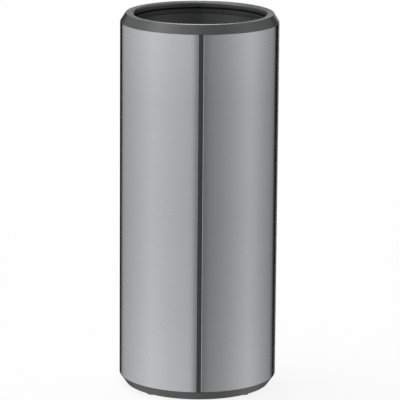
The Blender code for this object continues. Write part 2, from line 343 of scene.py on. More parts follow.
def bar_plan(inner: float, outer: float, half: float, ease: float = 0.0) -> list[Corner]:
    """Draw the plan of a straight bar along +X.

    Args:
        inner: Where it starts.
        outer: Where it ends.
        half: Half of its width.
        ease: The easing of its corners.

    Returns:
        The closed plan.
    """
    ends = ((inner, -half), (outer, -half), (outer, half), (inner, half))
    return [Corner(first, second, ease) for first, second in ends]


def map_round(bm: bmesh.types.BMesh) -> bmesh.types.BMesh:
    """Map a turned shape by its run over the section and by its run round the axis.

    Level faces have the two swapped, so that gloss is drawn out across a flat and along a wall.

    Args:
        bm: The shape, about the stand's axis.

    Returns:
        The same shape, with a map in metres.
    """
    layer = bm.loops.layers.uv.new(SHEET_UV)
    bm.normal_update()
    for face in bm.faces:
        middle = face.calc_center_median()
        bearing = math.atan2(middle.y, middle.x)
        level = face.normal.z > LEVEL_FACE
        for loop in face.loops:
            place = loop.vert.co
            beside = math.atan2(place.y, place.x) - bearing
            beside -= 2 * math.pi * round(beside / (2 * math.pi))
            along = (bearing + beside) * ROUND_MAP_RADIUS
            over = place.z - place.xy.length
            loop[layer].uv = (along, over) if level else (over, along)
    return bm


def store_mesh(name: str, bm: bmesh.types.BMesh) -> bpy.types.Mesh:
    """Write a shape to a new mesh.

    Args:
        name: The mesh's name.
        bm: The shape, which is freed.

    Returns:
        The mesh.
    """
    mesh = bpy.data.meshes.new(name)
    bm.to_mesh(mesh)
    bm.free()
    return mesh


def show(name: str, data: bpy.types.ID) -> bpy.types.Object:
    """Put an object in the scene.

    Args:
        name: Its name.
        data: The mesh or the camera that it shows.

    Returns:
        The object.
    """
    made = bpy.data.objects.new(name, data)
    bpy.context.scene.collection.objects.link(made)
    return made


def join_shapes(
    body: bmesh.types.BMesh, tools: Iterable[bmesh.types.BMesh], joinery: Joinery
) -> bmesh.types.BMesh:
    """Cut shapes out of a body, or fuse them onto it.

    Args:
        body: The body, which is freed.
        tools: The shapes, clear of each other, which are freed.
        joinery: Whether they are cut out or fused on.

    Returns:
        The new body.
    """
    gathered = bmesh.new()
    for tool in tools:
        mesh = store_mesh("tool", tool)
        gathered.from_mesh(mesh)
        bpy.data.meshes.remove(mesh)
    helpers = [show("helper", store_mesh("helper", bm)) for bm in (body, gathered)]
    boolean = helpers[0].modifiers.new("joinery", "BOOLEAN")
    boolean.operation = joinery.value
    boolean.solver = "EXACT"
    boolean.object = helpers[1]
    joined = bmesh.new()
    joined.from_object(helpers[0], bpy.context.evaluated_depsgraph_get())
    for helper in helpers:
        mesh = helper.data
        bpy.data.objects.remove(helper)
        bpy.data.meshes.remove(mesh)
    bmesh.ops.remove_doubles(joined, verts=joined.verts, dist=MERGE)
    return joined


def publish(
    node: str,
    bm: bmesh.types.BMesh,
    material: bpy.types.Material,
    body: Body = Body.STAND,
) -> bpy.types.Object:
    """Show a finished shape in place of a node of the frame.

    Args:
        node: The node that the shape stands for.
        bm: The shape, which is freed.
        material: Its finish.
        body: The body that it rides on.

    Returns:
        The new piece.
    """
    bmesh.ops.recalc_face_normals(bm, faces=bm.faces)
    mesh = store_mesh(node + "_detailed", bm)
    mesh.shade_smooth()
    mesh.set_sharp_from_angle(angle=CREASE)
    mesh.materials.append(material)
    piece = show(node + "_detailed", mesh)
    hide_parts(node)
    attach(piece, body.value)
    return piece


def flatten_shading(piece: bpy.types.Object) -> None:
    """Keep broad faces flat in the light beside their eased edges.

    Args:
        piece: The piece, after its other modifiers.
    """
    weighted = piece.modifiers.new("weighted normals", "WEIGHTED_NORMAL")
    weighted.mode = "FACE_AREA"
    weighted.keep_sharp = True


def report(piece: bpy.types.Object) -> None:
    """Close a finished piece's modifiers and log what it holds.

    Args:
        piece: The piece.
    """
    flatten_shading(piece)
    faces = len(piece.data.polygons)
    log.info("%s: %d faces, %s", piece.name, faces, piece.data.materials[0].name)


# Shading.


class Signal:
    """A value on a shader socket, which takes part in Python arithmetic."""

    def __init__(self, tree: bpy.types.NodeTree, socket: bpy.types.NodeSocket | None) -> None:
        """Wrap a socket.

        Args:
            tree: The node tree that the socket belongs to.
            socket: An output socket.
        """
        self.tree = tree
        self.socket = socket

    def combine(
        self, operation: str, first: "Signal | float", second: "Signal | float"
    ) -> "Signal":
        """Add a Math node.

        Args:
            operation: The node's operation.
            first: Its first value.
            second: Its second value.

        Returns:
            The node's result.
        """
        node = self.tree.nodes.new("ShaderNodeMath")
        node.operation = operation
        for socket, value in zip(node.inputs, (first, second)):
            if isinstance(value, Signal):
                self.tree.links.new(value.socket, socket)
            else:
                socket.default_value = value
        return Signal(self.tree, node.outputs[0])

    def __add__(self, other: "Signal | float") -> "Signal":
        """The sum."""
        return self.combine("ADD", self, other)

    def __radd__(self, other: float) -> "Signal":
        """The sum, with the number first."""
        return self.combine("ADD", other, self)

    def __sub__(self, other: "Signal | float") -> "Signal":
        """The difference."""
        return self.combine("SUBTRACT", self, other)

    def __rsub__(self, other: float) -> "Signal":
        """The difference, with the number first."""
        return self.combine("SUBTRACT", other, self)

    def __mul__(self, other: "Signal | float") -> "Signal":
        """The product."""
        return self.combine("MULTIPLY", self, other)

    def __rmul__(self, other: float) -> "Signal":
        """The product, with the number first."""
        return self.combine("MULTIPLY", other, self)


class Graph:
    """A cleared node tree with one way to add any node."""

    def __init__(self, tree: bpy.types.NodeTree) -> None:
        """Clear a node tree.

        Args:
            tree: The tree of a material or a world.
        """
        self.tree = tree
        tree.nodes.clear()

    def plug(self, socket: bpy.types.NodeSocket, value: Any) -> None:
        """Give a socket a link or a constant.

        Args:
            socket: An input socket.
            value: A Signal, a number, a vector, or a colour of three or four numbers.
        """
        if isinstance(value, Signal):
            self.tree.links.new(value.socket, socket)
        elif socket.type == "RGBA" and len(value) == 3:
            socket.default_value = (*value, 1.0)
        else:
            socket.default_value = value

    def node(
        self,
        kind: str,
        settings: dict[str, Any] | None = None,
        sockets: dict[str | int, Any] | None = None,
        output: str | int = 0,
    ) -> Signal:
        """Add one node.

        Args:
            kind: The node's type.
            settings: Its properties. "stops" gives a ramp's (place, colour) pairs.
            sockets: Values or links of its inputs, by name or number.
            output: The output to hand back.

        Returns:
            That output. An output node has none, and its Signal is empty.
        """
        made = self.tree.nodes.new(kind)
        for name, value in (settings or {}).items():
            if name == "stops":
                self.set_stops(made.color_ramp, value)
            else:
                setattr(made, name, value)
        for name, value in (sockets or {}).items():
            self.plug(made.inputs[name], value)
        return Signal(self.tree, made.outputs[output] if len(made.outputs) else None)

    @staticmethod
    def set_stops(ramp: bpy.types.ColorRamp, stops: Sequence[tuple[float, float]]) -> None:
        """Give a colour ramp its stops.

        Args:
            ramp: The ramp.
            stops: Pairs of a place from 0 to 1 and a grey level, in order.
        """
        while len(ramp.elements) < len(stops):
            ramp.elements.new(1.0)
        for element, (place, level) in zip(ramp.elements, stops):
            element.position = place
            element.color = (level, level, level, 1.0)

    def noise(self, where: Signal, scale: float, detail: float = 2.0) -> Signal:
        """A noise pattern.

        Args:
            where: The coordinates that it reads.
            scale: Its size, in cells for each unit.
            detail: Its octaves.

        Returns:
            A value from 0 to 1.
        """
        sockets = {"Vector": where, "Scale": scale, "Detail": detail}
        return self.node("ShaderNodeTexNoise", sockets=sockets)

    def on_piece(self) -> Signal:
        """The piece's own coordinates, in metres."""
        return self.node("ShaderNodeTexCoord", output="Object")

    def map_tangent(self) -> Signal:
        """The direction in which the piece's map runs."""
        return self.node("ShaderNodeTangent", {"direction_type": "UV_MAP", "uv_map": SHEET_UV})

    def stretched(self, where: Signal, scale: tuple[float, float, float]) -> Signal:
        """Coordinates with their own scale along each axis."""
        return self.node("ShaderNodeMapping", sockets={"Vector": where, "Scale": scale})

    def ramp(self, value: Signal, *stops: tuple[float, float]) -> Signal:
        """A value passed through a ramp of grey levels."""
        return self.node("ShaderNodeValToRGB", {"stops": stops}, {"Fac": value})

    def blend(self, factor: Signal, first: Any, second: Any) -> Signal:
        """A colour between two others."""
        sockets = {0: factor, 6: first, 7: second}
        return self.node("ShaderNodeMix", {"data_type": "RGBA"}, sockets, output=2)

    def bump(self, height: Signal, distance: float) -> Signal:
        """A surface normal for a height pattern, whose 0 to 1 is the distance in metres."""
        return self.node("ShaderNodeBump", sockets={"Height": height, "Distance": distance})


def scaled(colour: Colour, factor: float) -> Colour:
    """A colour made lighter or darker."""
    return (colour[0] * factor, colour[1] * factor, colour[2] * factor)


class Finish:
    """A surface that makes its own material."""

    name: str

    def sockets(self, graph: Graph) -> dict[str | int, Any]:
        """Wire the finish's pattern.

        Args:
            graph: The material's graph.

        Returns:
            Values or links of the inputs of a Principled shader.
        """
        raise NotImplementedError

    def material(self) -> bpy.types.Material:
        """Make the material.

        Returns:
            The material, whose surface is one Principled shader.
        """
        made = bpy.data.materials.new(self.name)
        made.use_nodes = True
        graph = Graph(made.node_tree)
        shader = graph.node("ShaderNodeBsdfPrincipled", sockets=self.sockets(graph))
        graph.node("ShaderNodeOutputMaterial", sockets={"Surface": shader})
        return made


@dataclass(frozen=True)
class BrushedSteel(Finish):
    """Stainless sheet with brushing lines round the body, and a painted reflection that makes it a
    little lighter at its ends.
    """

    name: str = "brushed_steel"
    colour: Colour = (0.642, 0.665, 0.684)
    darkest: float = 0.86
    lightest: float = 1.16
    line_width: float = 0.00045
    line_length: float = 0.070
    band_width: float = 0.0040
    band_length: float = 0.260
    cloud_scale: float = 9.0
    line_weight: float = 0.24
    band_weight: float = 0.20
    cloud_weight: float = 0.10
    # The roll ramp is a painted reflection by height: the sheet is lighter at its top and bottom
    # and darker across the middle.
    painted_reflection_weight: float = 0.52
    roll: Levels = (
        (0.0, 1.0), (0.12, 0.85), (0.25, 0.5), (0.5, 0.20), (0.8, 0.35), (0.9, 0.8), (1.0, 1.0),
    )
    height: float = 0.6
    roughness: float = 0.25
    band_roughness: float = 0.03
    cloud_roughness: float = 0.01
    brushing_depth: float = 0.00000015

    def sockets(self, graph: Graph) -> dict[str | int, Any]:
        """Wire the brushing and the painted reflection to the sheet's own map of height and run.

        Args:
            graph: The material's graph.

        Returns:
            Values or links of the shader's inputs.
        """
        sheet = graph.node("ShaderNodeUVMap", {"uv_map": SHEET_UV})
        fine = graph.stretched(sheet, (1 / self.line_width, 1 / self.line_length, 1.0))
        wide = graph.stretched(sheet, (1 / self.band_width, 1 / self.band_length, 1.0))
        lines = graph.noise(fine, 1.0, detail=3.0)
        bands = graph.noise(wide, 1.0)
        clouds = graph.noise(graph.on_piece(), self.cloud_scale, detail=3.0)
        rise = graph.node("ShaderNodeSeparateXYZ", sockets={0: sheet}) * (1 / self.height)
        # Painted reflection: lighter at the sheet's top and bottom, darker across the middle.
        roll = graph.ramp(rise, *self.roll)
        brushing_and_painted_reflection = self.line_weight * lines + self.band_weight * bands
        brushing_and_painted_reflection = brushing_and_painted_reflection + self.cloud_weight * clouds + self.painted_reflection_weight * roll
        dark = scaled(self.colour, self.darkest)
        light = scaled(self.colour, self.lightest)
        rough = self.roughness + self.band_roughness * bands + self.cloud_roughness * clouds
        return {
            "Base Color": graph.blend(brushing_and_painted_reflection, dark, light),
            "Metallic": 1.0,
            "Roughness": rough,
            "Anisotropic": 1.0,
            "Tangent": graph.map_tangent(),
            "Normal": graph.bump(lines + bands, self.brushing_depth),
        }


@dataclass(frozen=True)
class MouldedPlastic(Finish):
    """Moulded plastic with an eroded grain, faint clouds and lighter rubbed patches.

    On a turned piece, drag draws the gloss out along the piece's map.
    """

    name: str
    colour: Colour
    roughness: float
    index: float = 1.45
    drag: float = 0.0
    grain: float = 0.0005
    grain_depth: float = 0.000010
    cloud_scale: float = 14.0
    cloudiness: float = 0.10
    scratch_scale: tuple[float, float, float] = (60.0, 60.0, 900.0)
    scratched: Levels = ((0.62, 0.0), (0.78, 1.0))
    patches: Levels = ((0.45, 0.0), (0.70, 1.0))
    rubbed: float = 0.25
    rubbed_light: float = 2.2
    polish: float = 0.05
    spread: float = 0.06

    def sockets(self, graph: Graph) -> dict[str | int, Any]:
        """Wire the grain, the clouds and the rubbed patches.

        Args:
            graph: The material's graph.

        Returns:
            Values or links of the shader's inputs.
        """
        where = graph.on_piece()
        grain = graph.noise(where, 1 / self.grain)
        clouds = graph.noise(where, self.cloud_scale, detail=4.0)
        scratches = graph.noise(graph.stretched(where, self.scratch_scale), 1.0, detail=3.0)
        rub = graph.ramp(scratches, *self.scratched) * graph.ramp(clouds, *self.patches)
        dark = scaled(self.colour, 1.0 - self.cloudiness)
        light = scaled(self.colour, 1.0 + self.cloudiness)
        shaded = graph.blend(0.5 * clouds + 0.5 * grain, dark, light)
        worn = scaled(self.colour, self.rubbed_light)
        return {
            "Base Color": graph.blend(rub * self.rubbed, shaded, worn),
            "Roughness": self.roughness - self.polish + self.spread * grain + self.spread * clouds,
            "IOR": self.index,
            "Anisotropic": self.drag,
            "Tangent": graph.map_tangent(),
            "Normal": graph.bump(grain, self.grain_depth),
        }


@dataclass(frozen=True)
class DrawnPlastic(Finish):
    """Plastic drawn through a die, with fine lines along its length."""

    name: str
    colour: Colour
    roughness: float
    line_width: float = 0.0004
    line_length: float = 0.120
    line_depth: float = 0.000006
    line_weight: float = 0.6
    cloud_weight: float = 0.4
    cloud_scale: float = 11.0
    shading: float = 0.15
    polish: float = 0.05

    def sockets(self, graph: Graph) -> dict[str | int, Any]:
        """Wire the draw lines, which run along Z.

        Args:
            graph: The material's graph.

        Returns:
            Values or links of the shader's inputs.
        """
        where = graph.on_piece()
        across = 1 / self.line_width
        drawn = graph.stretched(where, (across, across, 1 / self.line_length))
        lines = graph.noise(drawn, 1.0)
        clouds = graph.noise(where, self.cloud_scale, detail=3.0)
        mark = self.line_weight * lines + self.cloud_weight * clouds
        dark = scaled(self.colour, 1.0 - self.shading)
        light = scaled(self.colour, 1.0 + self.shading)
        return {
            "Base Color": graph.blend(mark, dark, light),
            "Roughness": self.roughness - self.polish + 2 * self.polish * mark,
            "Normal": graph.bump(lines, self.line_depth),
        }


@dataclass(frozen=True)
class PowderCoat(Finish):
    """Baked powder paint with its orange-peel surface, a sparse metallic fleck and some dust."""

    name: str
    colour: Colour
    roughness: float = 0.55
    peel: float = 0.0016
    peel_depth: float = 0.00003
    fleck: float = 0.0006
    flecked: Levels = ((0.70, 0.0), (0.76, 1.0))
    fleck_light: float = 2.0
    fleck_metal: float = 0.5
    fleck_polish: float = 0.15
    dust_scale: float = 18.0
    dusted: Levels = ((0.50, 0.0), (0.80, 1.0))
    dust_colour: Colour = (0.20, 0.19, 0.17)
    dust_cover: float = 0.30
    dust_roughness: float = 0.20

    def sockets(self, graph: Graph) -> dict[str | int, Any]:
        """Wire the peel, the fleck and the dust.

        Args:
            graph: The material's graph.

        Returns:
            Values or links of the shader's inputs.
        """
        where = graph.on_piece()
        peel = graph.noise(where, 1 / self.peel, detail=1.0)
        fleck = graph.ramp(graph.noise(where, 1 / self.fleck, detail=0.0), *self.flecked)
        dust = graph.ramp(graph.noise(where, self.dust_scale, detail=4.0), *self.dusted)
        painted = graph.blend(fleck, self.colour, scaled(self.colour, self.fleck_light))
        return {
            "Base Color": graph.blend(dust * self.dust_cover, painted, self.dust_colour),
            "Metallic": fleck * self.fleck_metal,
            "Roughness": self.roughness - self.fleck_polish * fleck + self.dust_roughness * dust,
            "Normal": graph.bump(peel, self.peel_depth),
        }


@dataclass(frozen=True)
class ZincPlate(Finish):
    """Zinc plate with a cloudy passivation, bright or black, and turning marks."""

    name: str = "zinc_plated"
    colour: Colour = (0.66, 0.67, 0.69)
    roughness: float = 0.34
    tint: Colour = (0.50, 0.56, 0.66)
    cloud_scale: float = 420.0
    mark_scale: tuple[float, float, float] = (300.0, 300.0, 9000.0)
    mark_depth: float = 0.000004
    polish: float = 0.06

    def sockets(self, graph: Graph) -> dict[str | int, Any]:
        """Wire the clouds and the turning marks.

        Args:
            graph: The material's graph.

        Returns:
            Values or links of the shader's inputs.
        """
        where = graph.on_piece()
        clouds = graph.noise(where, self.cloud_scale, detail=3.0)
        marks = graph.noise(graph.stretched(where, self.mark_scale), 1.0, detail=1.0)
        return {
            "Base Color": graph.blend(clouds, self.colour, self.tint),
            "Metallic": 1.0,
            "Roughness": self.roughness - self.polish + 2 * self.polish * marks,
            "Normal": graph.bump(marks, self.mark_depth),
        }


@dataclass(frozen=True)
class FootRubber(Finish):
    """Black rubber, matt and a little dusty low down."""

    name: str = "foot_rubber"
    colour: Colour = (0.020, 0.020, 0.021)
    roughness: float = 0.80
    grain_scale: float = 1600.0
    grain_depth: float = 0.00002
    grain_polish: float = 0.04
    dust_height: float = 0.004
    dust_scale: float = 500.0
    dusted: Levels = ((0.40, 0.0), (0.70, 1.0))
    dust_colour: Colour = (0.14, 0.13, 0.12)
    dust_cover: float = 0.35
    dust_roughness: float = 0.12

    def sockets(self, graph: Graph) -> dict[str | int, Any]:
        """Wire the grain and the dust.

        Args:
            graph: The material's graph.

        Returns:
            Values or links of the shader's inputs.
        """
        where = graph.on_piece()
        grain = graph.noise(where, self.grain_scale)
        height = graph.node("ShaderNodeSeparateXYZ", sockets={0: where}, output=2)
        low = 1.0 - graph.ramp(height * (1 / self.dust_height), (0.0, 0.0), (1.0, 1.0))
        dust = low * graph.ramp(graph.noise(where, self.dust_scale, detail=3.0), *self.dusted)
        return {
            "Base Color": graph.blend(dust * self.dust_cover, self.colour, self.dust_colour),
            "Roughness": self.roughness + self.dust_roughness * dust - self.grain_polish * grain,
            "Normal": graph.bump(grain, self.grain_depth),
        }


# Sub-assemblies.


@dataclass
class TopRing:
    """The chamfered cap that closes the panels at the top and frames the mouth."""

    finish: MouldedPlastic
    inset: float = 0.0087
    mouth: float = 0.1042
    lip_height: float = 0.0083
    lip_wall: float = 0.0022
    lip_round: float = 0.0035
    dish: float = 0.0006
    deck: float = 0.0024
    rib_inner: float = 0.1154
    rib_outer: float = 0.1172
    rib_lift: float = 0.0028
    skirt_foot: float = 0.0026
    crest_ease: float = 0.00035
    edge_ease: float = 0.00025

    def section(self, span: Span) -> list[Corner]:
        """Draw the ring's section.

        Args:
            span: The ring's room in the frame.

        Returns:
            The closed section, from the foot of the chamfer over the top and round the inside.
        """
        foot = span.low.z
        top = span.high.z
        lip_foot = top - self.lip_height
        lip_back = self.mouth + self.lip_wall
        outer = span.radius
        skirt = outer - self.skirt_foot
        slope = self.inset / (top - foot)
        return [
            Corner(outer, foot, self.edge_ease),
            Corner(outer - self.inset, top, self.crest_ease),
            Corner(self.mouth, top - self.dish, self.lip_round),
            Corner(self.mouth, lip_foot, self.edge_ease),
            Corner(lip_back, lip_foot, self.edge_ease),
            Corner(lip_back, top - self.deck),
            Corner(self.rib_inner, top - self.deck),
            Corner(self.rib_inner, foot + self.rib_lift),
            Corner(self.rib_outer, foot + self.rib_lift),
            Corner(self.rib_outer, foot + (skirt - self.rib_outer) / slope),
            Corner(skirt, foot),
        ]

    def build(self) -> None:
        """Model, dress and report the ring."""
        bm = turn_outline(self.section(Span.of("top_ring")), RING_STEPS)
        report(publish("top_ring", map_round(bm), self.finish.material()))


@dataclass
class FrameRing:
    """The ring under the cap, which the strips are screwed to and the sleeve hangs under."""

    finish: MouldedPlastic
    mouth: float = 0.1042
    rim_outer: float = 0.1066
    deck: float = 0.0025
    clip_inner: float = 0.1134
    clip_outer: float = 0.1151
    deck_edge: float = 0.12021
    shoulder: float = 0.1218
    rib_inner: float = 0.1217
    rib_outer: float = 0.1237
    rib_height: float = 0.0122
    gusset: float = 0.0030
    notch_half: float = 0.0062
    screw_circle: float = 0.1099
    screw_hole: float = 0.0021
    edge_ease: float = 0.00035

    def section(self, foot: float, deck: float, top: float) -> list[Corner]:
        """Draw the ring's section.

        Args:
            foot: The height of the rim's lower edge.
            deck: The height of the deck's underside.
            top: The height of the clip's upper edge.

        Returns:
            The closed section.
        """
        shelf = deck - GAP
        return [
            Corner(self.mouth, foot, self.edge_ease),
            Corner(self.mouth, deck + self.deck, self.edge_ease),
            Corner(self.clip_inner, deck + self.deck),
            Corner(self.clip_inner, top, self.edge_ease),
            Corner(self.clip_outer, top, self.edge_ease),
            Corner(self.clip_outer, deck + self.deck),
            Corner(self.deck_edge, deck + self.deck, self.edge_ease),
            Corner(self.shoulder, shelf),
            Corner(self.rib_outer, shelf, self.edge_ease),
            Corner(self.rib_outer, shelf - self.rib_height, self.edge_ease),
            Corner(self.rib_inner, shelf - self.rib_height, self.edge_ease),
            Corner(self.rib_inner, deck - self.gusset),
            Corner(self.rib_inner - self.gusset, deck),
            Corner(self.rim_outer, deck),
            Corner(self.rim_outer, foot, self.edge_ease),
        ]

    def cutters(self, deck: float) -> list[bmesh.types.BMesh]:
        """Make the notches that the strips pass through and the holes for their screws.

        Args:
            deck: The height of the deck's underside.

        Returns:
            The shapes to cut out.
        """
        shapes = []
        inner = self.rib_inner - self.gusset - OVERCUT / 2
        outer = self.rib_outer + OVERCUT / 2
        for side in Side:
            notch = bar_plan(inner, outer, self.notch_half)
            block = extrude_plan(notch, deck - self.rib_height - OVERCUT, deck + GAP)
            shapes.append(turn_about_axis(block, side.turn))
            bottom = deck - OVERCUT
            hole = bore_section(self.screw_hole, bottom, deck + self.deck + OVERCUT)
            shapes.append(turn_outline(hole, SCREW_STEPS, on_circle(self.screw_circle, side.turn)))
        return shapes

    def build(self) -> None:
        """Model, dress and report the ring."""
        span = Span.of("top_frame_ring")
        deck = Span.of("top_ring").low.z
        foot = Span.of("inner_sleeve").high.z + GAP
        body = turn_outline(self.section(foot, deck, span.high.z), RING_STEPS)
        bm = join_shapes(body, self.cutters(deck), Joinery.CUT)
        report(publish("top_frame_ring", map_round(bm), self.finish.material()))


@dataclass
class BaseRing:
    """The chamfered ring that the panels, the sleeve and the base plate stand on."""

    finish: MouldedPlastic
    inset: float = 0.0102
    chamfer: float = 0.0144
    inner: float = 0.092
    seat: float = 0.1047
    seat_height: float = 0.008
    rib_inner: float = 0.1217
    rib_outer: float = 0.1237
    notch_half: float = 0.0062
    screw_circle: float = 0.1099
    plate_circle: float = 0.098
    screw_hole: float = 0.0021
    head_recess: float = 0.0036
    head_depth: float = 0.003
    pilot_depth: float = 0.004
    foot_circle: float = 0.103
    foot_recess: float = 0.0083
    foot_roof: float = 0.0053
    core_inner: float = 0.096
    core_outer: float = 0.1105
    core_roof: float = 0.0058
    core_offset: float = math.radians(26)
    core_sweep: float = math.radians(22)
    core_steps: int = 24
    toe_ease: float = 0.00025
    edge_ease: float = 0.00025

    def section(self, span: Span) -> list[Corner]:
        """Draw the ring's section.

        Args:
            span: The ring's room in the frame.

        Returns:
            The closed section, from the toe of the chamfer over the deck.
        """
        foot = span.low.z
        deck = foot + self.chamfer
        return [
            Corner(span.radius - self.inset, foot, self.toe_ease),
            Corner(span.radius, deck, self.edge_ease),
            Corner(self.rib_outer, deck),
            Corner(self.rib_outer, span.high.z, self.edge_ease),
            Corner(self.rib_inner, span.high.z, self.edge_ease),
            Corner(self.rib_inner, deck),
            Corner(self.seat, deck, self.edge_ease),
            Corner(self.seat, self.seat_height),
            Corner(self.inner, self.seat_height, self.edge_ease),
            Corner(self.inner, foot, self.edge_ease),
        ]

    def station_cutters(self, span: Span, side: Side) -> list[bmesh.types.BMesh]:
        """Make the cuts at one strip: its notch, its screw's way and the plate screw's pilot hole.

        Args:
            span: The ring's room in the frame.
            side: The strip's side.

        Returns:
            The shapes to cut out.
        """
        deck = span.low.z + self.chamfer
        below = span.low.z - OVERCUT
        step = span.low.z + self.head_depth
        inner = self.rib_inner - OVERCUT
        outer = self.rib_outer + OVERCUT / 2
        notch = bar_plan(inner, outer, self.notch_half)
        screw_way = [
            Corner(0.0, below),
            Corner(self.head_recess, below),
            Corner(self.head_recess, step),
            Corner(self.screw_hole, step),
            Corner(self.screw_hole, deck + OVERCUT),
            Corner(0.0, deck + OVERCUT),
        ]
        pilot = bore_section(
            self.screw_hole, self.seat_height - self.pilot_depth, self.seat_height + OVERCUT
        )
        return [
            turn_about_axis(extrude_plan(notch, deck, span.high.z + OVERCUT), side.turn),
            turn_outline(screw_way, SCREW_STEPS, on_circle(self.screw_circle, side.turn)),
            turn_outline(pilot, SCREW_STEPS, on_circle(self.plate_circle, side.turn)),
        ]

    def corner_cutters(self, span: Span, quarter: Quarter) -> list[bmesh.types.BMesh]:
        """Make the cuts at one foot: its recess and the cored pocket on each side of it.

        Args:
            span: The ring's room in the frame.
            quarter: The foot's quarter.

        Returns:
            The shapes to cut out.
        """
        below = span.low.z - OVERCUT
        recess = bore_section(self.foot_recess, below, self.foot_roof)
        shapes = [turn_outline(recess, FOOT_STEPS, on_circle(self.foot_circle, quarter.turn))]
        for way in (-1, 1):
            middle = quarter.turn + way * self.core_offset
            start = middle - self.core_sweep / 2
            end = middle + self.core_sweep / 2
            plan = arc((0.0, 0.0), self.core_outer, start, end, self.core_steps)
            plan += arc((0.0, 0.0), self.core_inner, end, start, self.core_steps)
            shapes.append(extrude_plan(plan, below, self.core_roof))
        return shapes

    def build(self) -> None:
        """Model, dress and report the ring."""
        span = Span.of("base_ring")
        cutters = []
        for side in Side:
            cutters += self.station_cutters(span, side)
        for quarter in Quarter:
            cutters += self.corner_cutters(span, quarter)
        bm = join_shapes(turn_outline(self.section(span), RING_STEPS), cutters, Joinery.CUT)
        report(publish("base_ring", map_round(bm), self.finish.material()))


@dataclass
class Panels:
    """The four curved sheets, with both edges of each bent inwards into the strips."""

    finish: BrushedSteel
    thickness: float = 0.0008
    strip_half: float = 0.003
    flange_edge: float = 0.116
    bend: float = 0.0007
    bend_steps: int = 8
    arc_steps: int = 72
    edge_band: float = 0.0012
    edge_ease: float = 0.00014
    edge_steps: int = 2
    edge_angle: float = math.radians(60)

    def path(self, radius: float) -> list[Corner]:
        """Draw the middle of the sheet in plan, from the strip at angle 0 to the one at 90 degrees.

        Args:
            radius: The outer radius of the panels.

        Returns:
            The open path: flange, bend, face, bend, flange.
        """
        middle = radius - self.thickness / 2
        offset = self.strip_half + GAP + self.thickness / 2
        bend_y = offset + self.bend
        bend_x = math.sqrt((middle - self.bend) ** 2 - bend_y**2)
        lean = math.atan2(bend_y, bend_x)
        start = [Corner(self.flange_edge, offset)]
        start += arc((bend_x, bend_y), self.bend, -math.pi / 2, lean, self.bend_steps)
        face = arc((0.0, 0.0), middle, lean, math.pi / 2 - lean, self.arc_steps)
        end = [Corner(corner.second, corner.first) for corner in reversed(start)]
        return start + face[1:-1] + end

    def map_sheet(self, bm: bmesh.types.BMesh, radius: float) -> None:
        """Map the sheet by height and by run along its path, in metres.

        Args:
            bm: The sheet, in the place of the path.
            radius: The outer radius of the panels.
        """
        layer = bm.loops.layers.uv.new(SHEET_UV)
        for face in bm.faces:
            for loop in face.loops:
                place = loop.vert.co
                angle = math.atan2(place.y, place.x)
                way = math.copysign(1.0, angle - math.pi / 4)
                run = radius * angle + way * (radius - place.xy.length)
                loop[layer].uv = (place.z, run)

    def sheet(self, span: Span, radius: float) -> bmesh.types.BMesh:
        """Raise the path into a sheet, with a narrow band of faces along its top and bottom.

        Args:
            span: The panel's room in the frame.
            radius: The outer radius of the panels.

        Returns:
            The sheet, without thickness.
        """
        bm = draw_wire(self.path(radius), Plane.PLAN, closed=False)
        bmesh.ops.translate(bm, verts=bm.verts, vec=(0.0, 0.0, span.low.z))
        rim = bm.edges[:]
        inner_top = span.high.z - self.edge_band
        rise = 0.0
        for height in (span.low.z + self.edge_band, inner_top, span.high.z):
            grown = bmesh.ops.extrude_edge_only(bm, edges=rim)["geom"]
            rim = [item for item in grown if isinstance(item, bmesh.types.BMEdge)]
            lifted = [item for item in grown if isinstance(item, bmesh.types.BMVert)]
            bmesh.ops.translate(bm, verts=lifted, vec=(0.0, 0.0, height - span.low.z - rise))
            rise = height - span.low.z
        self.map_sheet(bm, radius)
        return bm

    def build(self) -> None:
        """Model, dress and report the panels."""
        material = self.finish.material()
        radius = Span.of("base_ring").radius
        for side, quarter in zip(Side, Quarter):
            node = "panel_" + quarter.label
            bm = turn_about_axis(self.sheet(Span.of(node), radius), side.turn)
            piece = publish(node, bm, material)
            sheet = piece.modifiers.new("sheet", "SOLIDIFY")
            sheet.thickness = self.thickness
            sheet.offset = 0.0
            sheet.use_even_offset = True
            eased = piece.modifiers.new("eased edges", "BEVEL")
            eased.width = self.edge_ease
            eased.segments = self.edge_steps
            eased.limit_method = "ANGLE"
            eased.angle_limit = self.edge_angle
            report(piece)


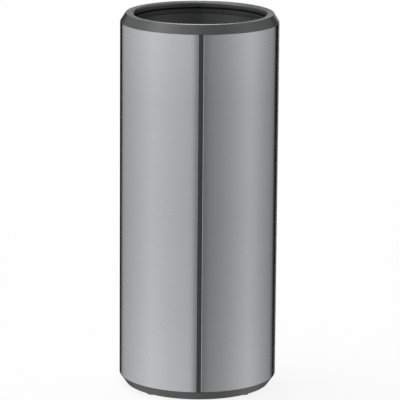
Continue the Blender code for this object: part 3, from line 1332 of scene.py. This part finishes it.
@dataclass
class JointStrips:
    """The four upright strips that hold the panels, drawn with slots, legs and a screw port."""

    finish: DrawnPlastic
    half: float = 0.003
    crown: float = 0.0003
    crown_steps: int = 10
    slot_floor: float = 0.115
    slot_width: float = 0.0014
    leg: float = 0.0012
    leg_tip: float = 0.1195
    back: float = 0.1132
    port_circle: float = 0.1099
    port_radius: float = 0.0032
    port_bore: float = 0.0021
    port_neck: float = 0.001
    port_mouth: float = math.radians(150)
    port_lip: float = math.radians(15)
    port_steps: int = 16
    edge_ease: float = 0.00035

    def plan(self, radius: float) -> list[Corner]:
        """Draw the strip in plan, its face towards +X.

        Args:
            radius: The outer radius of the stand.

        Returns:
            The closed plan.
        """
        inner_leg = self.half + self.slot_width
        outer_leg = inner_leg + self.leg
        port = (self.port_circle, 0.0)
        neck = math.asin(self.port_neck / self.port_radius)
        half = [
            Corner(radius - self.crown, self.half, self.edge_ease),
            Corner(self.slot_floor, self.half),
            Corner(self.slot_floor, inner_leg),
            Corner(self.leg_tip, inner_leg, self.edge_ease),
            Corner(self.leg_tip, outer_leg, self.edge_ease),
            Corner(self.back, outer_leg, self.edge_ease),
            Corner(self.back, self.port_neck),
        ]
        half += arc(port, self.port_radius, neck, self.port_mouth, self.port_steps)
        half += arc(port, self.port_bore, self.port_mouth, self.port_lip, self.port_steps)
        other = [Corner(corner.first, -corner.second, corner.ease) for corner in reversed(half)]
        crown_radius = (self.half**2 + self.crown**2) / (2 * self.crown)
        sweep = math.asin(self.half / crown_radius)
        face = arc((radius - crown_radius, 0.0), crown_radius, -sweep, sweep, self.crown_steps)
        return half + other + face[1:-1]

    def build(self) -> None:
        """Model, dress and report the strips."""
        material = self.finish.material()
        radius = Span.of("base_ring").radius
        for side in Side:
            node = "joint_strip_" + side.label
            span = Span.of(node)
            bm = extrude_plan(self.plan(radius), span.low.z, span.high.z)
            report(publish(node, turn_about_axis(bm, side.turn), material))


@dataclass
class InnerSleeve:
    """The thin tube that lines the stand between its rings."""

    finish: MouldedPlastic
    wall: float = 0.0012
    edge_ease: float = 0.0003

    def build(self) -> None:
        """Model, dress and report the sleeve."""
        span = Span.of("inner_sleeve")
        inner = span.radius - self.wall
        section = [
            Corner(inner, span.low.z, self.edge_ease),
            Corner(span.radius, span.low.z, self.edge_ease),
            Corner(span.radius, span.high.z, self.edge_ease),
            Corner(inner, span.high.z, self.edge_ease),
        ]
        bm = turn_outline(section, RING_STEPS)
        report(publish("inner_sleeve", map_round(bm), self.finish.material()))


@dataclass
class DripTray:
    """The lift-out dish that catches the water, with ribs that keep the tips off its floor."""

    finish: MouldedPlastic
    wall: float = 0.002
    floor: float = 0.0022
    floor_radius: float = 0.094
    foot_inner: float = 0.080
    foot_outer: float = 0.084
    knee: float = 0.0025
    knee_out: float = 0.0005
    knee_in: float = 0.0015
    brim: float = 0.0015
    rib_height: float = 0.0014
    rib_width: float = 0.0016
    ring_ribs: tuple[float, ...] = (0.026, 0.052, 0.078)
    spokes: int = 12
    spoke_inner: float = 0.030
    spoke_outer: float = 0.074
    spoke_share: float = 0.8
    edge_ease: float = 0.0007

    def section(self, span: Span) -> list[Corner]:
        """Draw the tray's section.

        Args:
            span: The tray's room in the frame.

        Returns:
            The section from the axis, along the underside, over the brim and back to the axis.
        """
        under = span.low.z + self.floor
        top = span.high.z
        brim = span.radius - self.brim
        bed = under + self.wall
        outside = [
            Corner(0.0, under),
            Corner(self.foot_inner, under),
            Corner(self.foot_inner, span.low.z, self.edge_ease),
            Corner(self.foot_outer, span.low.z, self.edge_ease),
            Corner(self.foot_outer, under),
            Corner(self.floor_radius, under, self.edge_ease),
            Corner(self.floor_radius + self.knee, under + self.knee, self.edge_ease),
            Corner(brim, top - self.wall, self.edge_ease / 2),
            Corner(span.radius, top - self.wall, self.edge_ease),
            Corner(span.radius, top, self.edge_ease),
            Corner(brim - self.wall, top, self.edge_ease),
            Corner(self.floor_radius + self.knee_out, bed + self.wall, self.edge_ease),
            Corner(self.floor_radius - self.knee_in, bed, self.edge_ease),
        ]
        for rib in reversed(self.ring_ribs):
            outer = rib + self.rib_width / 2
            inner = rib - self.rib_width / 2
            outside += [
                Corner(outer, bed),
                Corner(outer, bed + self.rib_height, self.edge_ease / 2),
                Corner(inner, bed + self.rib_height, self.edge_ease / 2),
                Corner(inner, bed),
            ]
        return outside + [Corner(0.0, bed)]

    def spoke_shapes(self, bed: float) -> list[bmesh.types.BMesh]:
        """Make the straight ribs between the ring ribs.

        Args:
            bed: The height of the tray's floor inside.

        Returns:
            The ribs, each let a little into the floor.
        """
        half = self.rib_width / 2
        shapes = []
        for spoke in range(self.spokes):
            plan = bar_plan(self.spoke_inner, self.spoke_outer, half, half / 2)
            rib = extrude_plan(plan, bed - self.wall / 2, bed + self.spoke_share * self.rib_height)
            shapes.append(turn_about_axis(rib, 2 * math.pi * (spoke + 0.5) / self.spokes))
        return shapes

    def build(self) -> None:
        """Model, dress and report the tray."""
        span = Span.of("drip_tray")
        bed = span.low.z + self.floor + self.wall
        dish = turn_outline(self.section(span), TRAY_STEPS)
        bm = join_shapes(dish, self.spoke_shapes(bed), Joinery.FUSE)
        material = self.finish.material()
        report(publish("drip_tray", map_round(bm), material, Body.TRAY))


@dataclass
class BasePlate:
    """The steel disc that closes the bottom and keeps the stand from tipping."""

    finish: PowderCoat
    screw_circle: float = 0.098
    screw_hole: float = 0.0021
    edge_ease: float = 0.0005

    def build(self) -> None:
        """Model, dress and report the plate."""
        span = Span.of("base_plate")
        section = [
            Corner(0.0, span.low.z),
            Corner(span.radius, span.low.z, self.edge_ease),
            Corner(span.radius, span.high.z, self.edge_ease),
            Corner(0.0, span.high.z),
        ]
        hole = bore_section(self.screw_hole, span.low.z - OVERCUT, span.high.z + OVERCUT)
        places = [on_circle(self.screw_circle, side.turn) for side in Side]
        holes = [turn_outline(hole, SCREW_STEPS, place) for place in places]
        bm = join_shapes(turn_outline(section, TRAY_STEPS), holes, Joinery.CUT)
        report(publish("base_plate", bm, self.finish.material()))


@dataclass
class RubberFeet:
    """The four round feet, each with a ringed tread."""

    finish: FootRubber
    chamfer: float = 0.0008
    groove_width: float = 0.0007
    groove_depth: float = 0.0005
    grooves: tuple[float, ...] = (0.0018, 0.0036, 0.0054)
    edge_ease: float = 0.00025

    def section(self, span: Span) -> list[Corner]:
        """Draw the section of a foot.

        Args:
            span: The foot's room in the frame.

        Returns:
            The section from the axis along the tread and back over the top.
        """
        low = span.low.z
        outline = [Corner(0.0, low)]
        for groove in self.grooves:
            outline += [
                Corner(groove, low),
                Corner(groove, low + self.groove_depth),
                Corner(groove + self.groove_width, low + self.groove_depth),
                Corner(groove + self.groove_width, low),
            ]
        return outline + [
            Corner(span.radius - self.chamfer, low, self.edge_ease),
            Corner(span.radius, low + self.chamfer, self.edge_ease),
            Corner(span.radius, span.high.z, self.edge_ease),
            Corner(0.0, span.high.z),
        ]

    def build(self) -> None:
        """Model, dress and report the feet."""
        material = self.finish.material()
        for quarter in Quarter:
            node = "rubber_foot_" + quarter.label
            span = Span.of(node)
            bm = turn_outline(self.section(span), FOOT_STEPS, span.centre)
            report(publish(node, bm, material))


class ScrewUse(Enum):
    """What a screw holds, by the start of its node's name."""

    STRIP_FOOT = "strip_screw_lower_"
    STRIP_HEAD = "strip_screw_upper_"
    PLATE = "plate_screw_"

    @property
    def head_down(self) -> bool:
        """Whether the head is at the lower end."""
        return self is ScrewUse.STRIP_FOOT


@dataclass
class PanHeadScrews:
    """The screws, each with a domed head, a cross recess and thread crests."""

    finish: ZincPlate
    top_finish: ZincPlate
    head_height: float = 0.002
    brow: float = 0.0009
    shank: float = 0.00175
    root: float = 0.0014
    pitch: float = 0.0008
    plain: float = 0.0012
    recess_half: float = 0.0004
    recess_reach: float = 0.0017
    recess_depth: float = 0.0012
    head_ease: float = 0.0007
    crown: float = 0.6
    crest: float = 0.35
    tip: float = 0.4
    cross_turn: float = 0.4

    def section(self, radius: float, length: float) -> list[Corner]:
        """Draw a screw with its seat at height 0 and its head upwards.

        Args:
            radius: The head's radius.
            length: The length of the shank.

        Returns:
            The section from the top of the head to the tip.
        """
        outline = [
            Corner(0.0, self.head_height),
            Corner(self.crown * radius, self.head_height, self.head_ease),
            Corner(radius, self.brow, self.head_ease / 2),
            Corner(radius, 0.0),
            Corner(self.shank, 0.0),
            Corner(self.shank, -self.plain),
        ]
        turns = int((length - self.plain - self.shank) / self.pitch)
        for turn in range(turns):
            top = -self.plain - turn * self.pitch
            outline.append(Corner(self.root, top - self.crest * self.pitch))
            outline.append(Corner(self.root, top - (1 - self.crest) * self.pitch))
            outline.append(Corner(self.shank, top - self.pitch))
        return outline + [Corner(self.tip * self.shank, -length), Corner(0.0, -length)]

    def recess(self) -> bmesh.types.BMesh:
        """Make the cross that is cut into the head."""
        half = self.recess_half
        reach = self.recess_reach
        arm = [Corner(reach, -half), Corner(reach, half), Corner(half, half)]
        plan = []
        for quarter in range(4):
            turn = Matrix.Rotation(quarter * math.pi / 2, 2)
            for corner in arm:
                place = turn @ Vector((corner.first, corner.second))
                plan.append(Corner(place.x, place.y))
        return extrude_plan(plan, self.head_height - self.recess_depth, self.head_height + OVERCUT)

    def screw(self, span: Span, use: ScrewUse, turn: float) -> bmesh.types.BMesh:
        """Make one screw in its place.

        Args:
            span: The screw's room in the frame.
            use: What it holds.
            turn: The angle at which its cross was left.

        Returns:
            The screw.
        """
        length = span.high.z - span.low.z - self.head_height
        body = turn_outline(self.section(span.radius, length), SCREW_STEPS)
        bm = join_shapes(body, [turn_about_axis(self.recess(), turn)], Joinery.CUT)
        seat = span.high.z - self.head_height
        if use.head_down:
            over = Matrix.Rotation(math.pi, 3, "X")
            bmesh.ops.rotate(bm, verts=bm.verts, cent=(0.0, 0.0, 0.0), matrix=over)
            seat = span.low.z + self.head_height
        bmesh.ops.translate(bm, verts=bm.verts, vec=span.centre + Vector((0.0, 0.0, seat)))
        return bm

    def build(self) -> None:
        """Model, dress and report the screws."""
        bright = self.finish.material()
        black = self.top_finish.material()
        for use in ScrewUse:
            for side in Side:
                node = use.value + side.label
                bm = self.screw(Span.of(node), use, side.value + self.cross_turn)
                hidden = use is ScrewUse.STRIP_HEAD
                report(publish(node, bm, black if hidden else bright))


# Studio.


@dataclass(frozen=True)
class Surround:
    """The soft light all round: white walls to the sides with dark gaps, a ceiling and a ground.

    A bright backdrop stands low behind the stand, with a softer horizon over it. Each pair is an
    angle in degrees, counted from the front to the right, and a level. Feet, tops and edges are
    sines of the angle above the horizontal.
    """

    walls: Levels = (
        (-180, 0.40), (-178, 0.20), (-175, 0.0), (-152, 0.0), (-149, 0.42), (-110, 0.60),
        (-75, 0.75), (-28, 0.66), (-12, 0.62), (-7, 0.43), (-3, 0.22), (3, 0.19), (9, 0.235),
        (15, 0.315), (30, 0.392), (61, 0.56), (78, 0.62), (91, 0.56), (111, 0.43), (126, 0.36),
        (138, 0.30), (141, 0.0), (157, 0.0), (161, 0.30), (180, 0.45),
    )
    ceiling: Levels = (
        (-180, 0.62), (-125, 1.00), (-96, 0.85), (-68, 0.19), (-43, 0.08), (-21, 0.085),
        (0, 0.15), (40, 0.08), (62, 0.04), (90, 0.11), (130, 0.28), (180, 0.35),
    )
    ground: Levels = (
        (-180, 0.50), (-100, 0.45), (-60, 0.36), (-15, 0.36), (5, 0.16), (50, 0.04), (85, 0.06),
        (100, 0.50), (180, 0.60),
    )
    backdrop: Levels = (
        (-180, 1.0), (-177, 0.7), (-174, 0.0), (171, 0.0), (174, 1.0), (180, 1.0),
    )
    horizon: Levels = (
        (-180, 1.0), (-177, 0.9), (-173, 0.0), (159, 0.0), (164, 1.0), (180, 1.0),
    )
    horizon_level: float = 2.6
    horizon_foot: float = 0.0
    horizon_top: float = 0.22
    horizon_edge: float = 0.06
    ceiling_level: float = 3.6
    backdrop_level: float = 5.0
    backdrop_foot: float = -0.20
    backdrop_top: float = 0.04
    backdrop_edge: float = 0.08
    wall_foot: float = -0.45
    ground_top: float = -0.80
    wall_top: float = 0.68
    ceiling_foot: float = 0.84

    @staticmethod
    def around(graph: Graph, place: Signal, levels: Levels) -> Signal:
        """The level in each direction round the stand, where place runs from 0 to 1 from behind."""
        return graph.ramp(place, *(((angle + 180) / 360, level) for angle, level in levels))

    @staticmethod
    def step(graph: Graph, value: Signal, start: float, end: float) -> Signal:
        """A smooth rise from 0 to 1 between two values."""
        sockets = {"From Min": start, "From Max": end, "Value": value}
        return graph.node("ShaderNodeMapRange", {"interpolation_type": "SMOOTHSTEP"}, sockets)

    def band(self, graph: Graph, value: Signal, foot: float, top: float, edge: float) -> Signal:
        """A value that is 1 from a foot to a top, with soft edges inside them."""
        risen = self.step(graph, value, foot, foot + edge)
        return risen * (1.0 - self.step(graph, value, top - edge, top))

    def build(self) -> None:
        """Make the world. What the camera sees of it directly is plain white."""
        world = bpy.data.worlds.new("studio")
        bpy.context.scene.world = world
        world.use_nodes = True
        graph = Graph(world.node_tree)
        towards = graph.node("ShaderNodeTexCoord", output="Generated")
        split = {"kind": "ShaderNodeSeparateXYZ", "sockets": {0: towards}}
        x, y, z = (graph.node(**split, output=axis) for axis in range(3))
        angle = x.combine("ARCTAN2", x, -1.0 * y)
        place = angle * (1 / (2 * math.pi)) + 0.5
        walls = self.around(graph, place, self.walls)
        ceiling = self.around(graph, place, self.ceiling) * self.ceiling_level
        ground = self.around(graph, place, self.ground)
        light = graph.blend(self.step(graph, z, self.wall_top, self.ceiling_foot), walls, ceiling)
        sunk = 1.0 - self.step(graph, z, self.ground_top, self.wall_foot)
        light = graph.blend(sunk, light, ground)
        upper = self.band(graph, z, self.horizon_foot, self.horizon_top, self.horizon_edge)
        far = upper * self.around(graph, place, self.horizon)
        light = graph.blend(far, light, (self.horizon_level,) * 3)
        lower = self.band(graph, z, self.backdrop_foot, self.backdrop_top, self.backdrop_edge)
        behind = lower * self.around(graph, place, self.backdrop)
        light = graph.blend(behind, light, (self.backdrop_level,) * 3)
        seen = graph.node("ShaderNodeLightPath", output="Is Camera Ray")
        shown = graph.blend(seen, light, WHITE)
        background = graph.node("ShaderNodeBackground", sockets={"Color": shown})
        graph.node("ShaderNodeOutputWorld", sockets={"Surface": background})


@dataclass(frozen=True)
class Floor:
    """The plain pale floor, which isn't seen from below or in the steel."""

    half: float = 14.0
    glow: float = 0.86
    colour: Colour = (0.13, 0.13, 0.13)
    roughness: float = 0.9

    def build(self) -> None:
        """Make the floor and its material."""
        bm = bmesh.new()
        bmesh.ops.create_grid(bm, x_segments=1, y_segments=1, size=self.half)
        mesh = store_mesh("floor", bm)
        floor = show("floor", mesh)
        made = bpy.data.materials.new("floor")
        made.use_nodes = True
        graph = Graph(made.node_tree)
        paint = {
            "Base Color": self.colour,
            "Roughness": self.roughness,
            "Emission Color": WHITE,
            "Emission Strength": self.glow,
        }
        solid = graph.node("ShaderNodeBsdfPrincipled", sockets=paint)
        clear = graph.node("ShaderNodeBsdfTransparent")
        below = graph.node("ShaderNodeNewGeometry", output="Backfacing")
        either = graph.node("ShaderNodeMixShader", sockets={0: below, 1: solid, 2: clear})
        graph.node("ShaderNodeOutputMaterial", sockets={"Surface": either})
        mesh.materials.append(made)
        floor.visible_glossy = False


@dataclass(frozen=True)
class StudioCamera:
    """The camera: a long lens, a little above the stand and a touch off level."""

    distance: float = 4.7335
    elevation: float = math.radians(12.961)
    pivot_height: float = 0.303
    aim_height: float = 0.2986
    aim_side: float = 0.00235
    turn: float = math.radians(-1.1)
    roll: float = math.radians(0.4447)
    lens: float = 268.25
    sensor: float = 36.0
    clip_end: float = 60.0

    def build(self) -> None:
        """Make the camera and hand it to the scene."""
        data = bpy.data.cameras.new("camera")
        data.lens = self.lens
        data.sensor_width = self.sensor
        data.clip_end = self.clip_end
        camera = show("camera", data)
        ahead = self.distance * math.cos(self.elevation)
        height = self.pivot_height + self.distance * math.sin(self.elevation)
        place = Vector((0.0, -ahead, height))
        aim = Vector((self.aim_side, 0.0, self.aim_height))
        look = (aim - place).to_track_quat("-Z", "Y").to_matrix().to_4x4()
        level = Matrix.Translation(place) @ look @ Matrix.Rotation(self.roll, 4, "Z")
        camera.matrix_world = Matrix.Rotation(self.turn, 4, "Z") @ level
        bpy.context.scene.camera = camera


def main() -> None:
    """Build the stand's pieces in order, then the studio round them."""
    logging.basicConfig(level=logging.INFO, format="%(message)s")
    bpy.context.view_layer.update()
    ring = MouldedPlastic("ring_plastic", (0.034, 0.037, 0.036), 0.38, index=2.1, drag=0.8)
    rim = MouldedPlastic("frame_plastic", (0.040, 0.042, 0.042), 0.42, index=1.8, drag=1.0)
    sleeve = MouldedPlastic("sleeve_plastic", (0.034, 0.036, 0.036), 0.42, index=2.5, drag=1.0)
    tray = MouldedPlastic("tray_plastic", (0.040, 0.041, 0.042), 0.45)
    BaseRing(ring).build()
    BasePlate(PowderCoat("plate_coat", (0.10, 0.10, 0.11))).build()
    RubberFeet(FootRubber()).build()
    InnerSleeve(sleeve).build()
    JointStrips(DrawnPlastic("strip_plastic", (0.035, 0.037, 0.040), 0.40)).build()
    Panels(BrushedSteel()).build()
    FrameRing(rim).build()
    TopRing(ring).build()
    black_zinc = ZincPlate("black_zinc", (0.030, 0.030, 0.032), 0.50, tint=(0.022, 0.024, 0.028))
    PanHeadScrews(ZincPlate(), black_zinc).build()
    DripTray(tray).build()
    Surround().build()
    Floor().build()
    StudioCamera().build()
    bpy.context.scene.view_settings.view_transform = "Standard"


if __name__ == "__main__":
    main()
